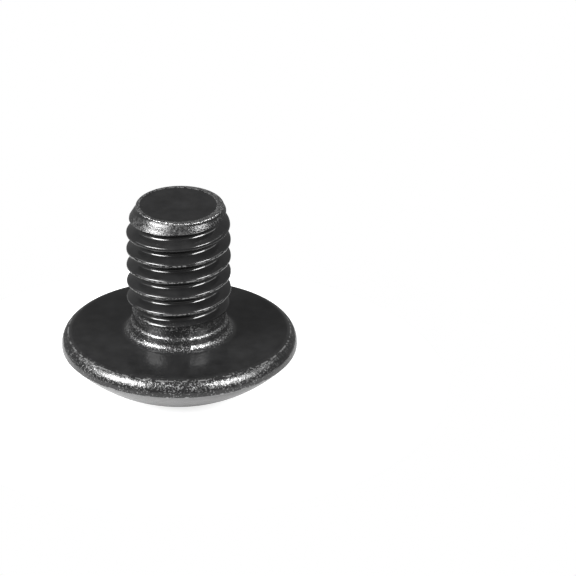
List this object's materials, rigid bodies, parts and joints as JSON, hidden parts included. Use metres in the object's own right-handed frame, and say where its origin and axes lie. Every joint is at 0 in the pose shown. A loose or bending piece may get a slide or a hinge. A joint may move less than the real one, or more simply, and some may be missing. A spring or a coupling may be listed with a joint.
{
  "type": "truss head screw",
  "caption": "Short machine screw with a wide low domed truss head, cross recess, flat bearing face, plain neck and right-hand rolled thread, black finish.",
  "frame": {"origin": "centre of the flat bearing face under the head, on the screw's axis", "axes": "+Z along the screw's axis from the bearing face to the tip, so the screw stands on its domed head; +X and +Y along the wings of the cross recess"},
  "size_m": [0.0132, 0.0132, 0.0114],
  "materials": {
    "black_steel": "glossy black conversion coating on rolled steel, bare at worn edges"
  },
  "bodies": {
    "root": {"screw": "black_steel"}
  },
  "joints": []
}
